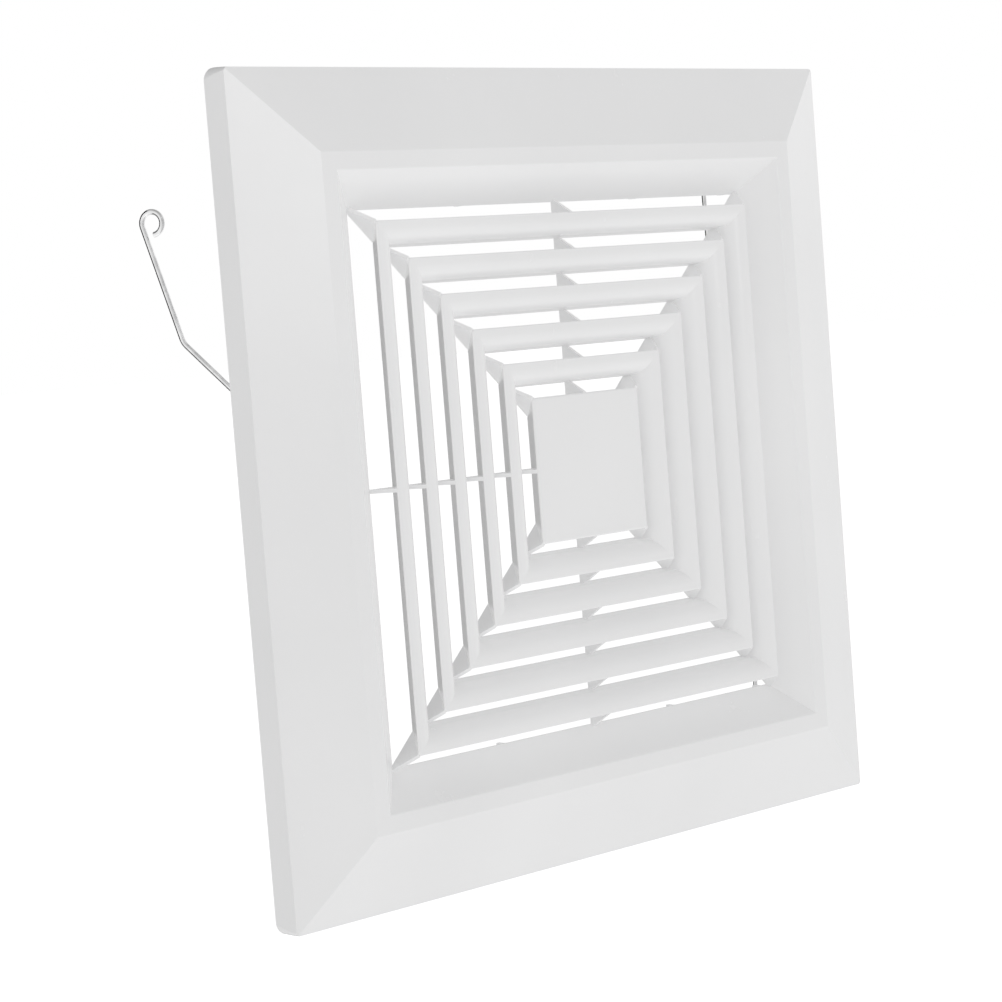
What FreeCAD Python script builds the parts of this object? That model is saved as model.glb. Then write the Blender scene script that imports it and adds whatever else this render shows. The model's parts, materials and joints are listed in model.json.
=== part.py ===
import FreeCAD, Part
import math
import os

# Square ceiling air diffuser: a bevelled face frame round a recess, five louver rings and a
# centre plate on eight ribs, and two wire torsion springs that hold it up from behind.
#
# All lengths are millimetres. The diffuser is drawn lying on its back, in "panel" axes: X across,
# Y up the face, Z out of the face towards the room, with Z = 0 at the rear edge of the rim that
# bears on the ceiling. Saving a piece stands it up, so that the finished part has X across, +Z up
# the face and -Y out of the face towards the room.

Vector = FreeCAD.Vector
ORIGIN = Vector(0, 0, 0)
X_AXIS = Vector(1, 0, 0)
Y_AXIS = Vector(0, 1, 0)
Z_AXIS = Vector(0, 0, 1)

# ---- driving dimensions: face frame (half-sizes are measured from the centre line) ----
FRAME_HALF = 150.0          # outside of the rim at its rear edge
RIM_HEIGHT = 10.4           # straight side wall, rear edge to start of the bevel
RIM_DRAFT = 0.95            # how much the side wall leans in over its height
RIM_CORNER_RADIUS = 5.0
LAND_OUTER_HALF = 118.9     # flat land between bevel and recess
LAND_INNER_HALF = 112.5
LAND_HEIGHT = 21.3
THROAT_HALF = 99.2          # opening at the back of the recess
THROAT_LIP = 0.8            # short straight lip at the throat
SKIN = 2.5                  # moulded wall thickness of rim, bevel and land
RECESS_SKIN = 2.2           # thickness of the sloping recess wall
RIDGE_RADIUS = 0.8          # softened edges on the front of the frame

# ---- driving dimensions: louver core ----
CORE_BACK = 7.3             # rear edge of every louver blade
CORE_FRONT = 18.5           # front land of every blade and of the centre plate
RING_COUNT = 5
FIRST_RING_HALF = 95.2      # outer front edge of the largest ring, before it is softened
RING_PITCH = 13.57
BLADE_LEAN = 7.2            # how far a blade's outer face slopes in from front to back
BLADE_FRONT_LAND = 8.2      # blade thickness at the front, before its inner edge is rounded
BLADE_BACK_LAND = 2.5       # blade thickness at the back
BLADE_OUTER_RADIUS = 0.5
BLADE_INNER_RADIUS = 6.5    # the large round that turns the front land into the inner face
BLADE_CORNER_RADIUS = 1.2
PLATE_HALF = 27.8
PLATE_SKIN = 2.4
PLATE_EDGE_RADIUS = 0.8

# ---- driving dimensions: ribs ----
RIB_THICKNESS = 1.4
RIB_BACK = 7.8              # rear edge of every rib
SPINE_DEPTH = 1.0           # rib spine, which sits in slots in the rear edges of the blades
TOOTH_TOP_DROP = 0.6        # a tooth ends this far below the front of the next blade in
TOOTH_OVERLAP = 1.0         # extra length that is trimmed to the blade it meets
SPINE_INTO_FRAME = 1.2      # the spine's ends are let into the recess wall and the plate's skirt
SPINE_INTO_PLATE = 1.6

# ---- driving dimensions: stiffening gussets behind the bevel ----
GUSSET_THICKNESS = 1.6
GUSSET_OFFSETS = (-95.0, -45.0, 45.0, 95.0)
GUSSET_REAR = 4.0

# ---- driving dimensions: wire springs (drawn as the left one, as seen from the room) ----
WIRE_RADIUS = 1.0
COIL_RADIUS = 4.1           # coil centre line to wire centre line
COIL_PITCH = 2.4
COIL_TURNS_BETWEEN = 1      # whole turns between the two legs' own turns, besides the part turn
COIL_EASE_DEG = 40.0        # first stretch of coil, where the wire turns out of its leg's plane
SPRING_LEAN_DEG = 25.0      # plane of the legs, from the panel normal towards the outside
LEG_SPREAD_DEG = 58.25      # each leg from the spring's centre line, when relaxed
LEFT_SWING_DEG = 13.75      # how far the left spring has dropped on its pin
RIGHT_SWING_DEG = 0.0
KNEE_BEND_DEG = 28.8
KNEE_RADIUS = 6.0
INNER_LEG = 77.6            # coil to knee
OUTER_LEG = 44.4            # knee to the curl at the tip
CURL_RADIUS = 4.15
CURL_DEG = 280.0
COIL_CENTRE_X = -115.3
COIL_CENTRE_Z = 1.56

# ---- driving dimensions: spring brackets ----
PIN_RADIUS = 2.75           # slimmer than the coil, which winds down onto it when the legs close
PIN_PLAY = 0.3              # free space beside the coil, along the pin
POST_THICKNESS = 3.0
POST_ROUND = 5.5
PIN_END_LENGTH = 0.9        # pin beyond the push-on washer
WASHER_THICKNESS = 0.8
WASHER_RADIUS = 5.2
WASHER_GRIP = 0.02
FLANGE_REAR = 8.8
FLANGE_THICKNESS = 2.0
FLANGE_X = (-127.0, -107.5)
FLANGE_HALF_WIDTH = 15.0
FLANGE_CORNER = 3.0
SCREW_X = -116.0
SCREW_OFFSET = 10.8
SCREW_RADIUS = 1.25
SCREW_CLEARANCE_RADIUS = 1.6
SCREW_LENGTH = 8.0
SCREW_POINT = 1.2
HEAD_RADIUS = 2.9
HEAD_HEIGHT = 1.8
CROSS_WIDTH = 0.8
CROSS_DEPTH = 1.0
CROSS_LENGTH = 3.2
BOSS_RADIUS = 3.2
PILOT_GAP = 0.02

# ---- sizes that follow ----
RECESS_SLOPE = (LAND_INNER_HALF - THROAT_HALF) / (LAND_HEIGHT - CORE_BACK - THROAT_LIP)
RECESS_ANGLE = math.atan(1 / RECESS_SLOPE)
RECESS_OFFSET = RECESS_SKIN / math.sin(RECESS_ANGLE)
BEVEL_SLOPE = (LAND_HEIGHT - RIM_HEIGHT) / (FRAME_HALF - RIM_DRAFT - LAND_OUTER_HALF)
BLADE_DEPTH = CORE_FRONT - CORE_BACK
BLADE_SLOPE = BLADE_LEAN / BLADE_DEPTH
SPINE_FRONT = RIB_BACK + SPINE_DEPTH
SPINE_START = PLATE_HALF - BLADE_LEAN - SPINE_INTO_PLATE
SPINE_END = THROAT_HALF + SPINE_INTO_FRAME
EASE_LOSS_DEG = COIL_EASE_DEG / 2
LEG_TURN_RISE = COIL_PITCH * (360 - EASE_LOSS_DEG) / 360
MID_COIL_DEG = 360 * COIL_TURNS_BETWEEN + 180 - 2 * LEG_SPREAD_DEG
MID_COIL_RISE = COIL_PITCH * MID_COIL_DEG / 360
LEG_LEVEL = LEG_TURN_RISE + MID_COIL_RISE / 2
COIL_HALF_LENGTH = LEG_LEVEL + WIRE_RADIUS


# ---------------------------------------------------------------- general shapes

def square_frustum(half_low, z_low, half_high, z_high):
    """A solid with square sections that changes size evenly between two heights."""
    def corners(half, z):
        return [Vector(half * sx, half * sy, z) for sx, sy in ((-1, -1), (1, -1), (1, 1), (-1, 1))]

    low = corners(half_low, z_low)
    high = corners(half_high, z_high)
    loops = [low[::-1], high]
    for i in range(4):
        j = (i + 1) % 4
        loops.append([low[i], low[j], high[j], high[i]])
    faces = [Part.Face(Part.makePolygon(loop + [loop[0]])) for loop in loops]
    return Part.Solid(Part.makeShell(faces))


def box_between(low, high):
    return Part.makeBox(high[0] - low[0], high[1] - low[1], high[2] - low[2], Vector(*low))


def rod(centre, radius, length, direction=Z_AXIS):
    return Part.makeCylinder(radius, length, centre, direction)


def edges_where(shape, test):
    """Edges whose end points all pass the test."""
    return [e for e in shape.Edges if all(test(v.Point) for v in e.Vertexes)]


def half_of(point):
    """Half-size of the square ring that a point lies on."""
    return max(abs(point.x), abs(point.y))


def loop_edges(shape, half, z):
    """The edges of the square of that half-size at that height."""
    def on_square(point):
        return abs(point.z - z) < 0.01 and abs(half_of(point) - half) < 0.01

    return edges_where(shape, on_square)


def corner_edges(shape, z_low, z_high, half_low, half_high):
    """The four sloping edges where two sides of a frustum meet."""
    found = []
    for edge in shape.Edges:
        ends = sorted((v.Point for v in edge.Vertexes), key=lambda p: p.z)
        if len(ends) != 2:
            continue
        spans = abs(ends[0].z - z_low) < 0.01 and abs(ends[1].z - z_high) < 0.01
        outer = abs(half_of(ends[0]) - half_low) < 0.01 and abs(half_of(ends[1]) - half_high) < 0.01
        if spans and outer:
            found.append(edge)
    return found


# ---------------------------------------------------------------- face frame

def gusset(offset, turn):
    """One thin web behind the bevel, before it is trimmed to the space there."""
    web = box_between(
        (THROAT_HALF, offset - GUSSET_THICKNESS / 2, GUSSET_REAR),
        (FRAME_HALF, offset + GUSSET_THICKNESS / 2, LAND_HEIGHT),
    )
    web.rotate(ORIGIN, Z_AXIS, turn)
    return web


def screw_boss(side, offset):
    height = LAND_HEIGHT - SKIN / 2 - FLANGE_REAR - FLANGE_THICKNESS
    return rod(Vector(side * SCREW_X, offset, FLANGE_REAR + FLANGE_THICKNESS), BOSS_RADIUS, height)


def pilot_hole(side, offset):
    start = Vector(side * SCREW_X, offset, FLANGE_REAR)
    return rod(start, SCREW_RADIUS + PILOT_GAP, SCREW_LENGTH + PILOT_GAP)


def make_face_frame():
    rim_front = FRAME_HALF - RIM_DRAFT
    outside = square_frustum(FRAME_HALF, 0, rim_front, RIM_HEIGHT)
    outside = outside.fuse(square_frustum(rim_front, RIM_HEIGHT, LAND_OUTER_HALF, LAND_HEIGHT))
    rounded_plan = Part.makeBox(2 * FRAME_HALF, 2 * FRAME_HALF, LAND_HEIGHT,
                                Vector(-FRAME_HALF, -FRAME_HALF, 0))
    upright = edges_where(rounded_plan, lambda p: True)
    upright = [e for e in upright if abs(e.Vertexes[0].Point.z - e.Vertexes[1].Point.z) > 1]
    rounded_plan = rounded_plan.makeFillet(RIM_CORNER_RADIUS, upright)
    outside = outside.common(rounded_plan)

    hollow_front = LAND_HEIGHT - SKIN
    hollow_step = RIM_HEIGHT - SKIN * BEVEL_SLOPE / 2 - SKIN / 2
    step_half = FRAME_HALF - SKIN - RIM_DRAFT * hollow_step / RIM_HEIGHT
    top_half = step_half - (hollow_front - hollow_step) / BEVEL_SLOPE
    hollow = square_frustum(FRAME_HALF - SKIN, 0, step_half, hollow_step)
    hollow = hollow.fuse(square_frustum(step_half, hollow_step, top_half, hollow_front))

    wall_back = square_frustum(
        THROAT_HALF + RECESS_OFFSET - THROAT_LIP * RECESS_SLOPE, CORE_BACK,
        LAND_INNER_HALF + RECESS_OFFSET, LAND_HEIGHT,
    )
    frame = outside.cut(hollow).fuse(wall_back)

    webs = [gusset(offset, turn) for offset in GUSSET_OFFSETS for turn in (0, 90, 180, 270)]
    webs = Part.makeCompound(webs).common(hollow).cut(wall_back)
    bosses = [screw_boss(side, sign * SCREW_OFFSET) for side in (1, -1) for sign in (1, -1)]
    frame = frame.fuse(webs.Solids + bosses)

    lip_top = CORE_BACK + THROAT_LIP
    recess = square_frustum(THROAT_HALF, CORE_BACK, THROAT_HALF, lip_top)
    recess = recess.fuse(square_frustum(THROAT_HALF, lip_top, LAND_INNER_HALF, LAND_HEIGHT))
    frame = frame.cut(recess)
    for side in (1, -1):
        for sign in (1, -1):
            frame = frame.cut(pilot_hole(side, sign * SCREW_OFFSET))
    frame = frame.removeSplitter()

    soft = loop_edges(frame, LAND_OUTER_HALF, LAND_HEIGHT)
    soft += loop_edges(frame, LAND_INNER_HALF, LAND_HEIGHT)
    return frame.makeFillet(RIDGE_RADIUS, soft)


# ---------------------------------------------------------------- louver core

def ring_half(number):
    """Outer front half-size of louver ring 1 (the largest) to RING_COUNT."""
    return FIRST_RING_HALF - (number - 1) * RING_PITCH


def make_louver_ring(half):
    """A square ring of flared blade: it leans outwards to the front."""
    body = square_frustum(half - BLADE_LEAN, CORE_BACK, half, CORE_FRONT)
    body = body.makeFillet(
        BLADE_CORNER_RADIUS,
        corner_edges(body, CORE_BACK, CORE_FRONT, half - BLADE_LEAN, half),
    )
    inside = square_frustum(
        half - BLADE_LEAN - BLADE_BACK_LAND, CORE_BACK,
        half - BLADE_FRONT_LAND, CORE_FRONT,
    )
    ring = body.cut(inside)
    inner_edges = loop_edges(ring, half - BLADE_FRONT_LAND, CORE_FRONT)
    ring = ring.makeFillet(BLADE_INNER_RADIUS, inner_edges)
    outer_edges = edges_where(
        ring, lambda p: abs(p.z - CORE_FRONT) < 0.01 and half_of(p) > half - BLADE_CORNER_RADIUS
    )
    return ring.makeFillet(BLADE_OUTER_RADIUS, outer_edges)


def make_centre_plate():
    """A square dish: flat front plate with a flared skirt like the blades."""
    body = square_frustum(PLATE_HALF - BLADE_LEAN, CORE_BACK, PLATE_HALF, CORE_FRONT)
    body = body.makeFillet(
        BLADE_CORNER_RADIUS,
        corner_edges(body, CORE_BACK, CORE_FRONT, PLATE_HALF - BLADE_LEAN, PLATE_HALF),
    )
    cavity_front = CORE_FRONT - PLATE_SKIN
    back_half = PLATE_HALF - BLADE_LEAN - BLADE_BACK_LAND
    front_half = back_half + BLADE_SLOPE * (cavity_front - CORE_BACK)
    plate = body.cut(square_frustum(back_half, CORE_BACK, front_half, cavity_front))
    front_edges = edges_where(plate, lambda p: abs(p.z - CORE_FRONT) < 0.01)
    return plate.makeFillet(PLATE_EDGE_RADIUS, front_edges)


def spine_slot(stretch, turn):
    """The slot that one rib's spine needs, open to the rear.

    stretch is 1 for a rib square to the sides and the square root of 2 for a diagonal one.
    """
    slot = box_between(
        (SPINE_START * stretch, -RIB_THICKNESS / 2, CORE_BACK - SPINE_DEPTH),
        (SPINE_END * stretch, RIB_THICKNESS / 2, SPINE_FRONT),
    )
    slot.rotate(ORIGIN, Z_AXIS, turn)
    return slot


def rib_web(stretch, turn):
    """One rib before trimming: a thin spine with a sloping tooth in each air gap."""
    profiles = [[
        (SPINE_START, RIB_BACK), (SPINE_END, RIB_BACK),
        (SPINE_END, SPINE_FRONT), (SPINE_START, SPINE_FRONT),
    ]]
    inner_halves = [ring_half(n) for n in range(1, RING_COUNT + 1)] + [PLATE_HALF]
    outer_halves = [THROAT_HALF] + [
        ring_half(n) - BLADE_LEAN - BLADE_BACK_LAND for n in range(1, RING_COUNT + 1)
    ]
    for outer_back, inner_front in zip(outer_halves, inner_halves):
        top = CORE_FRONT - TOOTH_TOP_DROP
        top_half = inner_front - TOOTH_TOP_DROP * BLADE_SLOPE
        profiles.append([
            (inner_front - BLADE_LEAN - TOOTH_OVERLAP, RIB_BACK),
            (outer_back + TOOTH_OVERLAP, RIB_BACK),
            (outer_back + TOOTH_OVERLAP, SPINE_FRONT),
            (top_half, top),
            (top_half - TOOTH_OVERLAP, top),
        ])
    solids = []
    for profile in profiles:
        points = [Vector(half * stretch, -RIB_THICKNESS / 2, z) for half, z in profile]
        face = Part.Face(Part.makePolygon(points + [points[0]]))
        solids.append(face.extrude(Vector(0, RIB_THICKNESS, 0)))
    web = solids[0].fuse(solids[1:]).removeSplitter()
    web.rotate(ORIGIN, Z_AXIS, turn)
    return web


def largest_solid(shape):
    return max(shape.Solids, key=lambda s: s.Volume)


def make_rib(stretch, turn, neighbours):
    """A rib trimmed to the frame, rings and plate it touches."""
    web = rib_web(stretch, turn)
    for neighbour in neighbours:
        web = web.cut(neighbour)
    return largest_solid(web)


# ---------------------------------------------------------------- wire springs

def spring_placement():
    """Puts a spring drawn flat, legs along +X and coil axis along Z, into its place on the panel."""
    lean = math.radians(SPRING_LEAN_DEG)
    along = Vector(-math.sin(lean), 0, -math.cos(lean))
    across = Vector(math.cos(lean), 0, -math.sin(lean))
    matrix = FreeCAD.Matrix(
        along.x, 0, across.x, COIL_CENTRE_X,
        along.y, 1, across.y, 0,
        along.z, 0, across.z, COIL_CENTRE_Z,
        0, 0, 0, 1,
    )
    return FreeCAD.Placement(matrix)


def polar(radius, angle, z=0.0):
    return Vector(radius * math.cos(angle), radius * math.sin(angle), z)


def arc_edge(centre, radius, start, end, z):
    """Arc between two angles in radians, in the order given."""
    def point(angle):
        return centre + polar(radius, angle, z)

    return Part.Arc(point(start), point((start + end) / 2), point(end)).toShape()


def coil_level(turned_deg):
    """How far the wire has moved along the coil axis after turning out of its leg."""
    if turned_deg < COIL_EASE_DEG:
        eased = turned_deg / COIL_EASE_DEG
        return COIL_PITCH * COIL_EASE_DEG * (eased ** 3 - eased ** 4 / 2) / 360
    return COIL_PITCH * (turned_deg - EASE_LOSS_DEG) / 360


def sweep_wire(edges, start, direction, frenet):
    """Round wire swept along a chain of edges."""
    section = Part.Wire(Part.makeCircle(WIRE_RADIUS, start, direction))
    return Part.Wire(edges).makePipeShell([section], True, frenet)


def make_leg():
    """One leg with its own turn of coil, in the plane z = 0: coil, straight, knee, straight, curl.

    The leg points up, and its coil turn runs anticlockwise and away in -Z.
    """
    leg = math.radians(LEG_SPREAD_DEG)
    bend = math.radians(KNEE_BEND_DEG)
    step_deg = 10
    turn_points = []
    for turned in range(0, 361, step_deg):
        turn_points.append(
            polar(COIL_RADIUS, leg + math.pi / 2 + math.radians(turned), -coil_level(turned))
        )
    turn_points.reverse()
    turn = Part.BSplineCurve()
    end_tangent = polar(COIL_RADIUS, leg)
    end_tangent.z = COIL_PITCH / (2 * math.pi)
    end_tangent.normalize()
    leg_direction = polar(1, leg)
    turn.interpolate(
        Points=turn_points,
        InitialTangent=end_tangent,
        FinalTangent=leg_direction,
        Scale=False,
    )

    tangent_point = polar(COIL_RADIUS, leg + math.pi / 2)
    knee_cut = KNEE_RADIUS * math.tan(bend / 2)
    knee_start = tangent_point + leg_direction * (INNER_LEG - knee_cut)
    knee_centre = knee_start + polar(KNEE_RADIUS, leg + math.pi / 2)
    knee_from = leg - math.pi / 2
    knee = arc_edge(knee_centre, KNEE_RADIUS, knee_from, knee_from + bend, 0)
    tip_direction = polar(1, leg + bend)
    knee_end = knee_centre + polar(KNEE_RADIUS, knee_from + bend)
    curl_start = knee_end + tip_direction * (OUTER_LEG - knee_cut)
    curl_centre = curl_start + polar(CURL_RADIUS, leg + bend + math.pi / 2)
    curl_from = leg + bend - math.pi / 2
    curl = arc_edge(curl_centre, CURL_RADIUS, curl_from, curl_from + math.radians(CURL_DEG), 0)

    edges = [
        turn.toShape(),
        Part.makeLine(tangent_point, knee_start),
        knee,
        Part.makeLine(knee_end, curl_start),
        curl,
    ]
    return sweep_wire(edges, turn_points[0], end_tangent, False)


def make_mid_coil():
    """The left-handed coil between the two legs' own turns, centred on z = 0."""
    helix = Part.makeHelix(COIL_PITCH, MID_COIL_RISE, COIL_RADIUS, 0, True)
    start = Vector(COIL_RADIUS, 0, 0)
    direction = Vector(0, -COIL_RADIUS, COIL_PITCH / (2 * math.pi))
    coil = sweep_wire(helix.Edges, start, direction, True)
    coil.translate(Vector(0, 0, -MID_COIL_RISE / 2))
    coil.rotate(ORIGIN, Z_AXIS, 270 - LEG_SPREAD_DEG)
    return coil


# ---------------------------------------------------------------- spring brackets

def make_bracket():
    """A moulded flange and post with the round pin that the coil turns on (left side)."""
    post_inner = -COIL_HALF_LENGTH - PIN_PLAY
    post_outer = post_inner - POST_THICKNESS
    reach = 2 * FLANGE_REAR
    post = Part.makeBox(reach, 2 * POST_ROUND, POST_THICKNESS, Vector(-reach, -POST_ROUND, post_outer))
    post = post.fuse(rod(Vector(0, 0, post_outer), POST_ROUND, POST_THICKNESS))
    pin_end = COIL_HALF_LENGTH + 2 * PIN_PLAY + WASHER_THICKNESS + PIN_END_LENGTH
    pin = rod(Vector(0, 0, post_outer), PIN_RADIUS, pin_end - post_outer)
    post = post.fuse(pin).removeSplitter()
    post.Placement = spring_placement()
    post = post.common(box_between(
        (-FRAME_HALF, -FRAME_HALF, -FRAME_HALF), (0, FRAME_HALF, FLANGE_REAR + FLANGE_THICKNESS / 2)
    ))

    flange = box_between(
        (FLANGE_X[0], -FLANGE_HALF_WIDTH, FLANGE_REAR),
        (FLANGE_X[1], FLANGE_HALF_WIDTH, FLANGE_REAR + FLANGE_THICKNESS),
    )
    upright = [e for e in flange.Edges if abs(e.Vertexes[0].Point.z - e.Vertexes[1].Point.z) > 1]
    flange = flange.makeFillet(FLANGE_CORNER, upright)
    bracket = flange.fuse(post)
    for sign in (1, -1):
        hole = rod(Vector(SCREW_X, sign * SCREW_OFFSET, 0), SCREW_CLEARANCE_RADIUS, LAND_HEIGHT)
        bracket = bracket.cut(hole)
    return bracket.removeSplitter()


def make_push_washer():
    """A push-on washer that keeps the coil on its pin (left side)."""
    start = COIL_HALF_LENGTH + 2 * PIN_PLAY
    washer = rod(Vector(0, 0, start), WASHER_RADIUS, WASHER_THICKNESS)
    washer = washer.cut(rod(Vector(0, 0, 0), PIN_RADIUS + WASHER_GRIP, LAND_HEIGHT))
    washer.Placement = spring_placement()
    return washer


def make_screw(offset):
    """A small cross-head screw driven from behind into its boss (left side)."""
    at = Vector(SCREW_X, offset, 0)
    head = rod(at + Z_AXIS * (FLANGE_REAR - HEAD_HEIGHT), HEAD_RADIUS, HEAD_HEIGHT)
    rear_edge = [e for e in head.Edges if len(e.Vertexes) == 1 and e.CenterOfMass.z < FLANGE_REAR - 1]
    head = head.makeFillet(HEAD_HEIGHT / 2, rear_edge)
    shank = rod(at + Z_AXIS * FLANGE_REAR, SCREW_RADIUS, SCREW_LENGTH - SCREW_POINT)
    point = Part.makeCone(
        SCREW_RADIUS, 0.2, SCREW_POINT, at + Z_AXIS * (FLANGE_REAR + SCREW_LENGTH - SCREW_POINT)
    )
    screw = head.fuse([shank, point]).removeSplitter()
    rear = FLANGE_REAR - HEAD_HEIGHT
    for size in ((CROSS_LENGTH, CROSS_WIDTH), (CROSS_WIDTH, CROSS_LENGTH)):
        slot = Part.makeBox(size[0], size[1], CROSS_DEPTH,
                            at + Vector(-size[0] / 2, -size[1] / 2, rear))
        screw = screw.cut(slot)
    return screw


# ---------------------------------------------------------------- assembly

def save(name, shape):
    """Stands the shape up in the finished part's axes and writes it."""
    standing = shape.copy()
    standing.rotate(ORIGIN, X_AXIS, 90)
    standing.exportStep("parts/" + name + ".step")


def mirrored(shape):
    return shape.mirror(ORIGIN, X_AXIS)


def spring_pieces(swing_deg):
    """A left spring's pieces by name, in place on the panel, swung down on the pin."""
    upper = make_leg()
    lower = upper.copy()
    upper.translate(Vector(0, 0, LEG_LEVEL))
    lower.rotate(ORIGIN, X_AXIS, 180)
    lower.translate(Vector(0, 0, -LEG_LEVEL))
    pieces = {"spring_coil": make_mid_coil(), "spring_upper_leg": upper, "spring_lower_leg": lower}
    for piece in pieces.values():
        piece.rotate(ORIGIN, Z_AXIS, -swing_deg)
        piece.Placement = spring_placement().multiply(piece.Placement)
    return pieces


def main():
    os.makedirs("parts", exist_ok=True)
    core = {"face_frame": make_face_frame(), "centre_plate": make_centre_plate()}
    for number in range(1, RING_COUNT + 1):
        core["louver_ring_%d" % number] = make_louver_ring(ring_half(number))

    straight_ribs = ("rib_right", "rib_top", "rib_left", "rib_bottom")
    diagonal_ribs = ("rib_top_right", "rib_top_left", "rib_bottom_left", "rib_bottom_right")
    ribs = {}
    for quarter in range(4):
        ribs[straight_ribs[quarter]] = (1.0, 90 * quarter)
        ribs[diagonal_ribs[quarter]] = (math.sqrt(2), 90 * quarter + 45)

    slots = [spine_slot(stretch, turn) for stretch, turn in ribs.values()]
    for name, shape in core.items():
        core[name] = largest_solid(shape.cut(slots))
        save(name, core[name])
    for name, (stretch, turn) in ribs.items():
        save(name, make_rib(stretch, turn, core.values()))

    fittings = {
        "spring_bracket": make_bracket(),
        "push_on_washer": make_push_washer(),
        "bracket_screws": Part.makeCompound([make_screw(SCREW_OFFSET), make_screw(-SCREW_OFFSET)]),
    }
    for name, shape in fittings.items():
        save("left_" + name, shape)
        save("right_" + name, mirrored(shape))
    for name, shape in spring_pieces(LEFT_SWING_DEG).items():
        save("left_" + name, shape)
    for name, shape in spring_pieces(RIGHT_SWING_DEG).items():
        save("right_" + name, mirrored(shape))


main()
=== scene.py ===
import json
import math

import bmesh
import bpy
from mathutils import Matrix, Vector


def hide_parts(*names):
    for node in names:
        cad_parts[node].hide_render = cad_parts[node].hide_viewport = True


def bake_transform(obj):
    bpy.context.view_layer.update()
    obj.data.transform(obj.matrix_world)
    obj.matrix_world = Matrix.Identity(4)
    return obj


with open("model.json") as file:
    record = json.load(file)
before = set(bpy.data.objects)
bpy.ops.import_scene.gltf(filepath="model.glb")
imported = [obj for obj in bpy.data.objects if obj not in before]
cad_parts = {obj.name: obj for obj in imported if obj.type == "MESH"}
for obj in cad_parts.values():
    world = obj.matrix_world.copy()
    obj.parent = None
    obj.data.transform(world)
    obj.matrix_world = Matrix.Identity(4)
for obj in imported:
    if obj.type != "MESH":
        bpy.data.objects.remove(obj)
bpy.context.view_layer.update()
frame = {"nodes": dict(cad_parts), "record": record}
nodes = frame["nodes"]
scene = bpy.context.scene

# Looks of a square ceiling air diffuser standing on edge: semi-gloss moulded white plastic and
# bright wire springs, in soft white studio light. Lengths are metres, in the CAD frame: X across
# the face, +Z up the face, -Y out of the face.

FACE_HALF = 0.150
FLOOR_Z = -FACE_HALF
FLOOR_WIDTH = 20.0
FLOOR_GLOW = 0.60            # lifts the floor until it melts into the white backdrop

# ---- camera ----
CAMERA_AT = Vector((-0.6809, -0.7314, 0.0597))
CAMERA_TOWARDS = Vector((0.6633, 0.7452, -0.0691))
CAMERA_UP = Vector((0.1045, -0.0007, 0.9945))
SENSOR_WIDTH = 36.0
LENS = 94.4
SHIFT_X = -0.00055
SHIFT_Y = -0.00685

# ---- light: brightness arriving from each side of the studio ----
WHITE = (1.0, 1.0, 1.0, 1.0)
LIGHT_FROM = {
    "left": 0.89,
    "right": 0.98,
    "front": 0.62,
    "back": 0.39,
    "above": 0.35,
    "below": 1.12,
}

# ---- soft boxes: place, width, brightness of the panel as seen (each one faces the object) ----
SOFT_BOXES = {
    "front_high": (Vector((-0.05, -1.30, 0.34)), 0.5, 2.60),
    "right_high": (Vector((1.20, -0.05, 0.36)), 0.5, 0.31),
    "front_low": (Vector((0.10, -1.10, -0.55)), 0.6, 0.15),
    "behind_low": (Vector((-0.30, 1.10, -0.50)), 0.8, 0.46),
}

# ---- black card behind the object, seen only in reflections: it draws the wires' dark edges ----
CARD_AT = Vector((-0.52, 1.52, 0.10))
CARD_WIDTH = 3.2

# ---- middle of each spring's coil, which bends as the legs close ----
COIL_RADIUS = 0.0041
COIL_PITCH = 0.0024
COIL_WIRE_RADIUS = 0.001
COIL_WIRE_SLIM = 0.00098    # where the wire is hidden inside the next length of coil
LEG_SPREAD_DEG = 58.25      # each leg from the spring's centre line
MID_COIL_DEG = 360.0 + 180.0 - 2 * LEG_SPREAD_DEG
COIL_OVERLAP_DEG = 42.0
COIL_STEP_DEG = 6.0
COIL_SECTION_POINTS = 20
TANGENT_STEP_DEG = 0.1
SWING_DEG = {"left": 13.75, "right": 0.0}    # how far each spring has dropped on its pin

# ---- colours (linear) ----
PLASTIC = (0.92, 0.92, 0.922)
PLASTIC_TRANSLUCENCY = 0.12
PLASTIC_GLOW = 0.09          # stands in for the many faint bounces between white walls
PLASTIC_EDGE = 0.0004        # width of the worn edges
STEEL_EDGE = 0.0002
WIRE_STEEL = (0.93, 0.93, 0.935)
WASHER_STEEL = (0.50, 0.50, 0.51)
SCREW_STEEL = (0.66, 0.66, 0.67)

# ---- surface texture: how many features per metre ----
PLASTIC_MOTTLE = 14.0
PLASTIC_TEXTURE = 420.0
PLASTIC_GRAIN = 2600.0
PLASTIC_SCUFFS = 90.0
STEEL_MOTTLE = 260.0
STEEL_SPOTS = 700.0
STEEL_STREAKS = 900.0


# ---------------------------------------------------------------- node helpers

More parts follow.
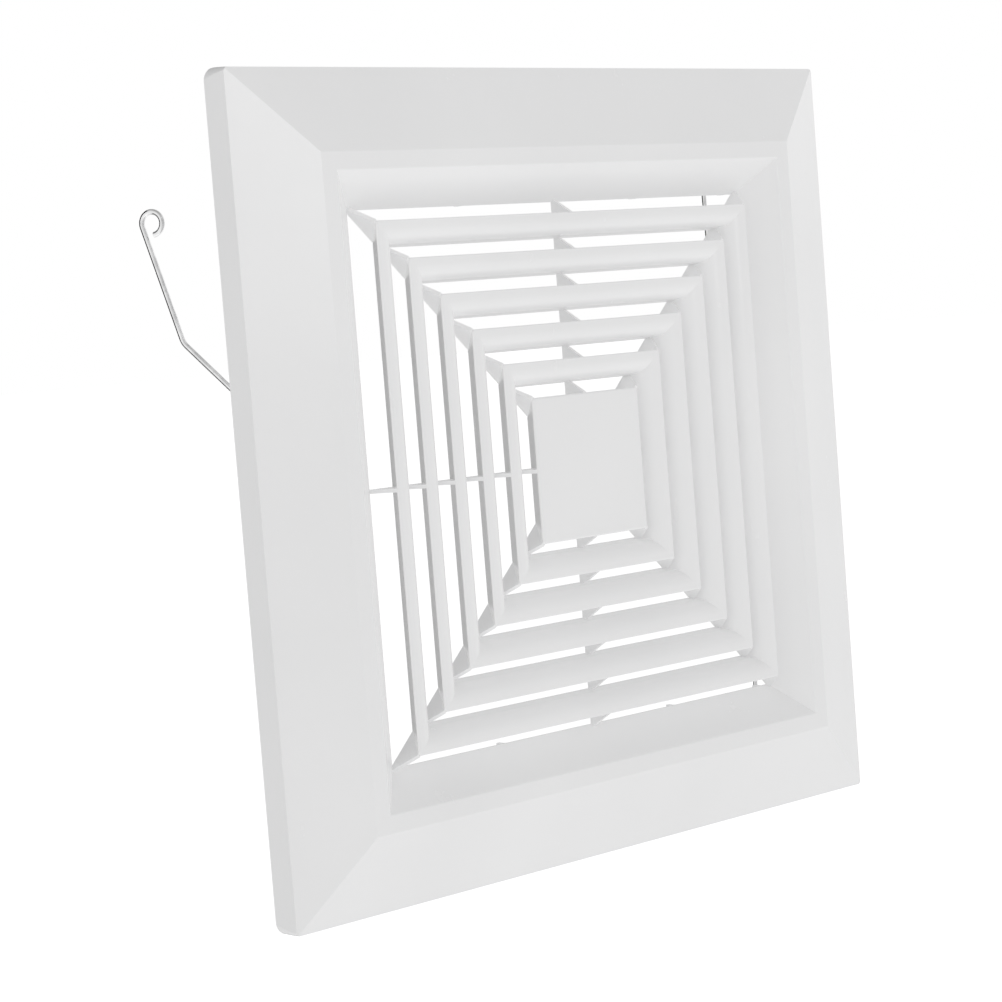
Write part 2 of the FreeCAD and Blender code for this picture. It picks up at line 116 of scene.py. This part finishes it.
class Graph:
    """Short names for building a node tree."""

    def __init__(self, tree):
        self.tree = tree
        self.tree.nodes.clear()

    def add(self, kind, **inputs):
        """A node with values or links given by input name (spaces written as underscores)."""
        node = self.tree.nodes.new(kind)
        for name, value in inputs.items():
            self.set(node, name.replace("_", " "), value)
        return node

    def set(self, node, name, value):
        socket = node.inputs[name]
        if isinstance(value, bpy.types.NodeSocket):
            self.tree.links.new(value, socket)
        else:
            socket.default_value = value

    def math(self, operation, a, b=0.0, clamp=False):
        node = self.tree.nodes.new("ShaderNodeMath")
        node.operation = operation
        node.use_clamp = clamp
        for index, value in enumerate((a, b)):
            if isinstance(value, bpy.types.NodeSocket):
                self.tree.links.new(value, node.inputs[index])
            else:
                node.inputs[index].default_value = value
        return node.outputs[0]

    def noise(self, place, scale, detail=3.0, roughness=0.5):
        node = self.add("ShaderNodeTexNoise", Vector=place, Scale=scale, Detail=detail,
                        Roughness=roughness)
        return node.outputs["Fac"]

    def remap(self, value, low, high, to_low, to_high):
        node = self.add("ShaderNodeMapRange", Value=value, From_Min=low, From_Max=high,
                        To_Min=to_low, To_Max=to_high)
        return node.outputs["Result"]

    def mix(self, factor, a, b):
        """Mixes two colours."""
        node = self.tree.nodes.new("ShaderNodeMix")
        node.data_type = "RGBA"
        for socket, value in ((node.inputs[0], factor), (node.inputs[6], a), (node.inputs[7], b)):
            if isinstance(value, bpy.types.NodeSocket):
                self.tree.links.new(value, socket)
            elif isinstance(value, (int, float)):
                socket.default_value = value
            else:
                socket.default_value = (*value, 1.0)
        return node.outputs[2]


def new_material(name):
    material = bpy.data.materials.new(name)
    material.use_nodes = True
    return material, Graph(material.node_tree)


def edge_mask(graph, radius):
    """1 on sharp edges, 0 on flat faces."""
    rounded = graph.add("ShaderNodeBevel", Radius=radius)
    rounded.samples = 4
    plain = graph.tree.nodes.new("ShaderNodeNewGeometry")
    dot = graph.tree.nodes.new("ShaderNodeVectorMath")
    dot.operation = "DOT_PRODUCT"
    graph.tree.links.new(rounded.outputs["Normal"], dot.inputs[0])
    graph.tree.links.new(plain.outputs["Normal"], dot.inputs[1])
    return graph.remap(dot.outputs["Value"], 0.995, 0.90, 0.0, 1.0)


# ---------------------------------------------------------------- materials

def plastic_material(name, tone):
    """Semi-gloss moulded plastic: faint mottling, fine surface texture, faint scuffs, worn edges.

    Part of the light passes through the thin white wall instead of bouncing off.
    """
    material, graph = new_material(name)
    place = graph.add("ShaderNodeTexCoord").outputs["Object"]
    broad = graph.noise(place, PLASTIC_MOTTLE, 2.0)
    fine = graph.noise(place, PLASTIC_TEXTURE, 3.0)
    grain = graph.noise(place, PLASTIC_GRAIN, 2.0)
    smear = graph.add("ShaderNodeMapping", Vector=place, Scale=(1.0, 1.0, 0.25)).outputs["Vector"]
    scuffed = graph.remap(graph.noise(smear, PLASTIC_SCUFFS, 5.0, 0.65), 0.62, 0.78, 0.0, 1.0)
    worn = edge_mask(graph, PLASTIC_EDGE)

    base = tuple(channel * tone for channel in PLASTIC)
    light = tuple(min(1.0, channel * 1.015) for channel in base)
    dark = tuple(channel * 0.985 for channel in base)
    colour = graph.mix(graph.remap(broad, 0.3, 0.7, 0.0, 1.0), dark, light)
    rubbed = tuple(min(1.0, channel * 1.06) for channel in base)
    dirtied = tuple(channel * 0.96 for channel in base)
    colour = graph.mix(graph.math("MULTIPLY", worn, 0.5), colour, rubbed)
    colour = graph.mix(graph.math("MULTIPLY", scuffed, 0.25), colour, dirtied)

    roughness = graph.remap(fine, 0.3, 0.7, 0.17, 0.23)
    roughness = graph.math("ADD", roughness, graph.math("MULTIPLY", scuffed, 0.15))
    roughness = graph.math("ADD", roughness, graph.math("MULTIPLY", worn, 0.06))

    height = graph.math("ADD", graph.math("MULTIPLY", fine, 0.6), graph.math("MULTIPLY", grain, 0.4))
    bump = graph.add("ShaderNodeBump", Strength=0.12, Distance=0.00004, Height=height)
    shader = graph.add("ShaderNodeBsdfPrincipled", Base_Color=colour, Roughness=roughness,
                       IOR=1.5, Normal=bump.outputs["Normal"],
                       Emission_Color=WHITE, Emission_Strength=PLASTIC_GLOW)
    through = graph.add("ShaderNodeBsdfTranslucent", Color=colour)
    both = graph.add("ShaderNodeMixShader", Fac=PLASTIC_TRANSLUCENCY)
    graph.tree.links.new(shader.outputs[0], both.inputs[1])
    graph.tree.links.new(through.outputs[0], both.inputs[2])
    graph.add("ShaderNodeOutputMaterial", Surface=both.outputs[0])
    return material


def steel_material(name, base, roughness_low, roughness_high, streak):
    """Plated steel: fine streaks, mottled roughness, slightly dull spots, bright edges.

    streak squeezes the streaks along each axis; all ones leaves them as fine speckle.
    """
    material, graph = new_material(name)
    place = graph.add("ShaderNodeTexCoord").outputs["Object"]
    stretched = graph.add("ShaderNodeMapping", Vector=place, Scale=streak).outputs["Vector"]
    streaks = graph.noise(stretched, STEEL_STREAKS, 4.0, 0.6)
    mottle = graph.noise(place, STEEL_MOTTLE, 3.0)
    spots = graph.remap(graph.noise(place, STEEL_SPOTS, 4.0), 0.60, 0.70, 0.0, 1.0)
    worn = edge_mask(graph, STEEL_EDGE)

    bright = tuple(min(1.0, channel * 1.08) for channel in base)
    dull = tuple(channel * 0.86 for channel in base)
    spotted = tuple(channel * 0.6 for channel in base)
    colour = graph.mix(graph.remap(mottle, 0.3, 0.7, 0.0, 1.0), dull, bright)
    colour = graph.mix(graph.math("MULTIPLY", spots, 0.35), colour, spotted)
    colour = graph.mix(graph.math("MULTIPLY", worn, 0.4), colour, bright)

    roughness = graph.remap(streaks, 0.3, 0.7, roughness_low, roughness_high)
    roughness = graph.math("ADD", roughness, graph.math("MULTIPLY", spots, 0.12))
    bump = graph.add("ShaderNodeBump", Strength=0.15, Distance=0.00002, Height=streaks)
    shader = graph.add("ShaderNodeBsdfPrincipled", Base_Color=colour, Metallic=1.0,
                       Roughness=roughness, Normal=bump.outputs["Normal"])
    graph.add("ShaderNodeOutputMaterial", Surface=shader.outputs[0])
    return material


MOULDED_SMOOTH_DEG = 30      # edges gentler than these angles are shaded smooth
WIRE_SMOOTH_DEG = 40


def dress(name, material, smooth_deg):
    """Gives a CAD node its material, and smooth shading across edges gentler than smooth_deg."""
    piece = nodes[name]
    piece.data.materials.clear()
    piece.data.materials.append(material)
    piece.data.shade_smooth()
    piece.data.set_sharp_from_angle(angle=math.radians(smooth_deg))


frame_plastic = plastic_material("frame_plastic", 1.0)
core_plastic = plastic_material("core_plastic", 1.0)
bracket_plastic = plastic_material("bracket_plastic", 0.98)
wire_steel = steel_material("wire_steel", WIRE_STEEL, 0.07, 0.15, (1.0, 1.0, 1.0))
washer_steel = steel_material("washer_steel", WASHER_STEEL, 0.28, 0.42, (1.0, 1.0, 6.0))
screw_steel = steel_material("screw_steel", SCREW_STEEL, 0.22, 0.34, (1.0, 1.0, 1.0))

for name in nodes:
    if "screws" in name:
        dress(name, screw_steel, MOULDED_SMOOTH_DEG)
    elif "washer" in name:
        dress(name, washer_steel, MOULDED_SMOOTH_DEG)
    elif "bracket" in name:
        dress(name, bracket_plastic, MOULDED_SMOOTH_DEG)
    elif "spring" in name:
        dress(name, wire_steel, WIRE_SMOOTH_DEG)
    elif name == "face_frame":
        dress(name, frame_plastic, MOULDED_SMOOTH_DEG)
    else:
        dress(name, core_plastic, MOULDED_SMOOTH_DEG)


# ---------------------------------------------------------------- coils

def coil_axes(side):
    """Centre and axis of a coil, and the two directions its angles are measured in.

    The right spring is the left one mirrored.
    """
    joints = frame["record"]["behaviour"]["joints"]
    swivel = next(joint for joint in joints if joint["name"] == side + "_spring_swivel")
    centre = Vector(swivel["pos_m"])
    axis = Vector(swivel["axis"]).normalized()
    up = Vector((0.0, 0.0, 1.0))
    if side == "left":
        return centre, axis, up.cross(axis), up
    return centre, -axis, up.cross(axis), up


def coil_point(side, turned_deg):
    """Centre of the wire after that much of the middle coil, counted from its lower end.

    Also returns the direction from the coil's axis to that point.
    """
    centre, axis, across, up = coil_axes(side)
    angle = math.radians(270.0 - LEG_SPREAD_DEG - SWING_DEG[side] - turned_deg)
    level = COIL_PITCH * (turned_deg - MID_COIL_DEG / 2) / 360.0
    radial = across * math.cos(angle) + up * math.sin(angle)
    return centre + radial * COIL_RADIUS + axis * level, radial


def make_half_coil(side, end):
    """Half of a coil's middle: it bends between the spring's body and one of its legs.

    The wire carries on, slightly slimmer, inside the lengths of coil at both its ends, so that no
    gap shows when the leg turns.
    """
    middle = MID_COIL_DEG / 2
    low, high = (0.0, middle) if end == "lower" else (middle, MID_COIL_DEG)
    stations = [(low - COIL_OVERLAP_DEG, COIL_WIRE_SLIM), (low, COIL_WIRE_SLIM)]
    steps = math.ceil((high - low) / COIL_STEP_DEG)
    stations += [(low + (high - low) * i / steps, COIL_WIRE_RADIUS) for i in range(steps + 1)]
    stations += [(high, COIL_WIRE_SLIM), (high + COIL_OVERLAP_DEG, COIL_WIRE_SLIM)]
    fine = []
    for (a, radius_a), (b, radius_b) in zip(stations, stations[1:]):
        parts = max(1, math.ceil((b - a) / COIL_STEP_DEG - 0.01))
        fine += [(a + (b - a) * i / parts, radius_a if i == 0 else radius_b) for i in range(parts)]
    fine.append(stations[-1])

    mesh = bmesh.new()
    rings = []
    for turned, radius in fine:
        point, radial = coil_point(side, turned)
        tangent = (coil_point(side, turned + TANGENT_STEP_DEG)[0] - point).normalized()
        side_way = tangent.cross(radial).normalized()
        ring = []
        for i in range(COIL_SECTION_POINTS):
            around = 2 * math.pi * i / COIL_SECTION_POINTS
            offset = radial * math.cos(around) + side_way * math.sin(around)
            ring.append(mesh.verts.new(point + offset * radius))
        rings.append(ring)
    for ring, next_ring in zip(rings, rings[1:]):
        for i in range(COIL_SECTION_POINTS):
            j = (i + 1) % COIL_SECTION_POINTS
            mesh.faces.new((ring[i], ring[j], next_ring[j], next_ring[i]))
    mesh.faces.new(rings[0])
    mesh.faces.new(rings[-1])
    bmesh.ops.recalc_face_normals(mesh, faces=mesh.faces)
    data = bpy.data.meshes.new(side + "_coil_" + end + "_half")
    mesh.to_mesh(data)
    mesh.free()
    data.shade_smooth()
    data.set_sharp_from_angle(angle=math.radians(WIRE_SMOOTH_DEG))
    data.materials.append(wire_steel)
    piece = bpy.data.objects.new(data.name, data)
    scene.collection.objects.link(piece)

    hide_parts(side + "_spring_coil")
    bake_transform(piece)


for side in SWING_DEG:
    for end in ("upper", "lower"):
        make_half_coil(side, end)


# ---------------------------------------------------------------- stage

def make_floor():
    """A plain pale floor that melts into the white background away from the object."""
    bpy.ops.mesh.primitive_plane_add(size=FLOOR_WIDTH, location=(0, 0, FLOOR_Z))
    floor = bpy.context.object
    floor.name = "floor"
    material, graph = new_material("floor")
    diffuse = graph.add("ShaderNodeBsdfDiffuse", Color=(0.9, 0.9, 0.9, 1.0))
    glow = graph.add("ShaderNodeEmission", Color=WHITE, Strength=FLOOR_GLOW)
    both = graph.tree.nodes.new("ShaderNodeAddShader")
    graph.tree.links.new(diffuse.outputs[0], both.inputs[0])
    graph.tree.links.new(glow.outputs[0], both.inputs[1])
    graph.add("ShaderNodeOutputMaterial", Surface=both.outputs[0])
    floor.data.materials.append(material)
    floor.visible_diffuse = False
    floor.visible_glossy = False
    floor.visible_transmission = False


def make_world():
    """White for the camera; for everything else a soft room with its own brightness per side."""
    world = bpy.data.worlds.new("studio")
    world.use_nodes = True
    scene.world = world
    graph = Graph(world.node_tree)
    direction = graph.add("ShaderNodeTexCoord").outputs["Generated"]
    split = graph.add("ShaderNodeSeparateXYZ", Vector=direction)
    total = None
    sides_along = {"X": ("left", "right"), "Y": ("front", "back"), "Z": ("below", "above")}
    for axis, (minus, plus) in sides_along.items():
        part = split.outputs[axis]
        for side, sign in ((minus, -1.0), (plus, 1.0)):
            facing = graph.math("MAXIMUM", graph.math("MULTIPLY", part, sign), 0.0)
            weight = graph.math("MULTIPLY", facing, facing)
            share = graph.math("MULTIPLY", weight, LIGHT_FROM[side])
            total = share if total is None else graph.math("ADD", total, share)
    seen = graph.add("ShaderNodeLightPath").outputs["Is Camera Ray"]
    room = graph.add("ShaderNodeBackground", Color=WHITE, Strength=total)
    backdrop = graph.add("ShaderNodeBackground", Color=WHITE, Strength=1.0)
    choice = graph.tree.nodes.new("ShaderNodeMixShader")
    graph.tree.links.new(seen, choice.inputs[0])
    graph.tree.links.new(room.outputs[0], choice.inputs[1])
    graph.tree.links.new(backdrop.outputs[0], choice.inputs[2])
    graph.add("ShaderNodeOutputWorld", Surface=choice.outputs[0])


def make_soft_boxes():
    for name, (place, width, brightness) in SOFT_BOXES.items():
        light = bpy.data.lights.new(name, "AREA")
        light.shape = "SQUARE"
        light.size = width
        light.energy = brightness * math.pi ** 2 * width ** 2 / 4    # watts for that brightness
        box = bpy.data.objects.new(name, light)
        scene.collection.objects.link(box)
        box.location = place
        box.rotation_mode = "QUATERNION"
        box.rotation_quaternion = (-place).to_track_quat("-Z", "Y")
        box.visible_camera = False


def make_black_card():
    """Shows only in reflections, and casts no shadow."""
    bpy.ops.mesh.primitive_plane_add(size=CARD_WIDTH, location=CARD_AT)
    card = bpy.context.object
    card.name = "black_card"
    card.rotation_mode = "QUATERNION"
    card.rotation_quaternion = CARD_AT.to_track_quat("Z", "Y")
    material, graph = new_material("black_card")
    black = graph.add("ShaderNodeEmission", Color=(0.0, 0.0, 0.0, 1.0), Strength=0.0)
    graph.add("ShaderNodeOutputMaterial", Surface=black.outputs[0])
    card.data.materials.append(material)
    card.visible_camera = False
    card.visible_diffuse = False
    card.visible_transmission = False
    card.visible_shadow = False


def make_camera():
    data = bpy.data.cameras.new("camera")
    data.sensor_width = SENSOR_WIDTH
    data.lens = LENS
    data.shift_x = SHIFT_X
    data.shift_y = SHIFT_Y
    camera = bpy.data.objects.new("camera", data)
    scene.collection.objects.link(camera)
    back = -CAMERA_TOWARDS.normalized()
    right = CAMERA_UP.cross(back).normalized()
    up = back.cross(right)
    turn = Matrix((right, up, back)).transposed()
    camera.matrix_world = Matrix.Translation(CAMERA_AT) @ turn.to_4x4()
    scene.camera = camera


make_floor()
make_world()
make_soft_boxes()
make_black_card()
make_camera()
scene.view_settings.view_transform = "Standard"
scene.view_settings.look = "None"
